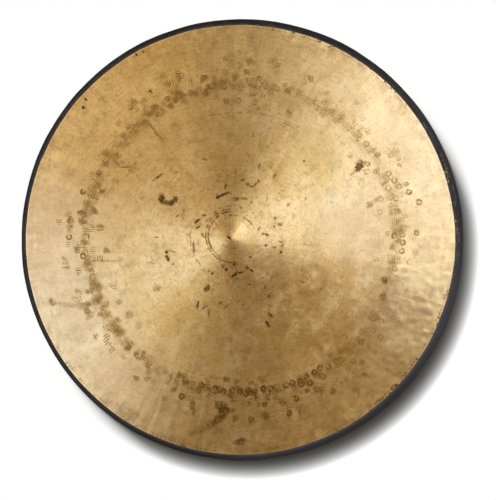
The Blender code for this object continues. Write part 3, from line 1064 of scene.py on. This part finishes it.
def hole_cutter(side):
    """A spool: a cylinder through the rim's wall that opens out at both of the wall's sides."""
    _, out = rim_section()
    flare = math.atan2(out.y, out.x)
    centre, _ = bend_centre()
    start = centre + out * (BEND_RADIUS - RIM_WALL / 2)
    down = Vector((math.sin(flare), -math.cos(flare)))
    middle = start + down * (start.y - CORD_HOLE_HEIGHT) / math.cos(flare)
    dent_allowance = 0.0004
    half = RIM_WALL / 2 + dent_allowance
    hole, chamfer = CORD_HOLE_DIAMETER / 2, CORD_HOLE_CHAMFER
    profile = [(hole + chamfer + CUTTER_REACH, half + CUTTER_REACH)]
    profile += [(hole + chamfer * wide, half - chamfer * deep) for wide, deep in WORN_EDGE]
    profile += [(radius, -height) for radius, height in reversed(profile)]
    angles = np.arange(CUTTER_ANGLES) * 2 * math.pi / CUTTER_ANGLES
    rows = [ring_of_points(radius, angles, height) for radius, height in profile]
    cutter = shown("hole_cutter", lathed_mesh("hole_cutter", rows, True), [])
    lean = Matrix.Rotation(math.pi / 2 - flare, 4, "Y")
    turn = Matrix.Rotation(math.pi / 2 - side * CORD_HOLE_ANGLE, 4, "Z")
    drawn_in = 0.0008  # the wall is drawn in round the hole
    cutter.matrix_world = turn @ Matrix.Translation((middle.x - drawn_in, 0.0, middle.y)) @ lean
    return cutter


def build_rim(scale):
    mesh = lathed_mesh("gong_rim", rim_rows(), False)
    rim = shown("gong_rim", mesh, [scale])
    cutters = [hole_cutter(side) for side in (-1, 1)]
    for cutter in cutters:
        cut = rim.modifiers.new("cord_hole", "BOOLEAN")
        cut.operation = "DIFFERENCE"
        cut.object = cutter
    bpy.context.view_layer.update()
    cut_mesh = bpy.data.meshes.new_from_object(rim.evaluated_get(bpy.context.evaluated_depsgraph_get()))
    rim.modifiers.clear()
    rim.data = cut_mesh
    for cutter in cutters:
        bpy.data.objects.remove(cutter)
    shade_smooth(cut_mesh)
    return rim


def add_camera():
    aim = Vector(CAMERA_AIM)
    away = Vector((math.tan(CAMERA_LEAN[0]), math.tan(CAMERA_LEAN[1]), 1.0)).normalized()
    data = bpy.data.cameras.new("camera")
    data.sensor_fit = "HORIZONTAL"
    data.sensor_width = SENSOR_MM
    data.lens = SENSOR_MM * PIXELS_PER_METRE * CAMERA_DISTANCE / PHOTO_WIDTH
    data.clip_end = 100
    camera = bpy.data.objects.new("camera", data)
    bpy.context.scene.collection.objects.link(camera)
    right = Vector((0.0, 1.0, 0.0)).cross(away).normalized()
    up = away.cross(right)
    turn = Matrix((right, up, away)).transposed().to_4x4()
    camera.matrix_world = Matrix.Translation(aim + away * CAMERA_DISTANCE) @ turn
    bpy.context.scene.camera = camera


def add_sun(name, azimuth_deg, from_zenith_deg, strength, width_deg, tint):
    """A soft lamp so far away that it lights the whole gong alike. Azimuth 0 is +X, 90 is +Y."""
    data = bpy.data.lights.new(name, "SUN")
    data.energy = strength
    data.angle = math.radians(width_deg)
    data.color = tint
    lamp = bpy.data.objects.new(name, data)
    bpy.context.scene.collection.objects.link(lamp)
    azimuth, zenith = math.radians(azimuth_deg), math.radians(from_zenith_deg)
    level = math.sin(zenith)
    towards = Vector((level * math.cos(azimuth), level * math.sin(azimuth), math.cos(zenith)))
    lamp.rotation_mode = "QUATERNION"
    lamp.rotation_quaternion = towards.to_track_quat("Z", "Y")
    return lamp


def light_only(lamp, pieces):
    """Makes a lamp light these objects and nothing else."""
    lit = bpy.data.collections.new(lamp.name + "_lights")
    for piece in pieces:
        lit.objects.link(piece)
    lamp.light_linking.receiver_collection = lit


def add_lamps(pieces, floor):
    """Four wide softboxes round the gong, and one low key for the floor and its shadow."""
    for settings in SOFTBOXES:
        light_only(add_sun(*settings), pieces)
    light_only(add_sun(*FLOOR_KEY), [floor])


def add_world():
    """A dim warm room whose walls are white up to a little above the horizon."""
    world = bpy.data.worlds.new("studio")
    bpy.context.scene.world = world
    world.use_nodes = True
    n = Nodes(world.node_tree)
    background = world.node_tree.nodes["Background"]
    towards = n.add("ShaderNodeTexCoord", {}).outputs["Generated"]
    rise = n.add("ShaderNodeSeparateXYZ", {0: towards}).outputs[2]
    wall = n.step(rise, 0.16, 0.04)
    warm_dim, white = colour(0.120, 0.084, 0.040), colour(1.0, 1.0, 1.0)
    n.fill(background, {"Color": n.blend(wall, warm_dim, white), "Strength": 1.0})


def add_floor():
    """A white table top with the gong's shadow on it, whose fade into a pure white backdrop round it is
    painted by the table's own glow.
    """
    half = FLOOR_HALF
    corners = [(-half, -half, 0), (half, -half, 0), (half, half, 0), (-half, half, 0)]
    mesh = bpy.data.meshes.new("floor")
    mesh.from_pydata(corners, [], [(0, 1, 2, 3)])
    material, n, shader = new_material("white_table")
    ray = n.add("ShaderNodeLightPath", {}).outputs
    seen = n.most(ray["Is Camera Ray"], ray["Is Glossy Ray"], ray["Is Transmission Ray"])
    _, x, y, _ = position(n)
    from_middle = n.length(n.minus(x, SHADOW_MIDDLE[0]), n.minus(y, SHADOW_MIDDLE[1]))
    out = n.math("DIVIDE", n.minus(from_middle, SHADOW_REACH - SHADOW_FADE), SHADOW_FADE)
    fade = n.math("POWER", n.math("MINIMUM", n.most(out, 0.0), 1.0), SHADOW_FADE_POWER)
    # Painted shadow edge: to seen rays, the table glows white over the shadow's outer part
    backdrop = n.times(seen, fade)
    cool_dim, cool = colour(0.47, 0.60, 0.80), colour(0.59, 0.75, 1.0)
    table = n.blend(seen, cool_dim, cool)
    looks = {
        "Base Color": n.blend(backdrop, table, colour(0.0, 0.0, 0.0)),
        "Roughness": 0.9,
        "Specular IOR Level": 0.0,
        "Emission Color": colour(1.0, 1.0, 1.0),
        "Emission Strength": backdrop,
    }
    n.fill(shader, looks)
    floor = shown("floor", mesh, [material])
    return floor


def main():
    scene = bpy.context.scene
    scene.view_settings.view_transform = "Standard"
    add_camera()
    bronze = bronze_material()
    scale = scale_material()
    face = build_face(bronze, scale)
    rim = build_rim(scale)
    for piece, node, slot in ((face, "face", "bronze"), (rim, "rim", "forging_scale")):
        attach(piece, "root")
        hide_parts(node)
    add_world()
    floor = add_floor()
    add_lamps([face, rim], floor)


main()
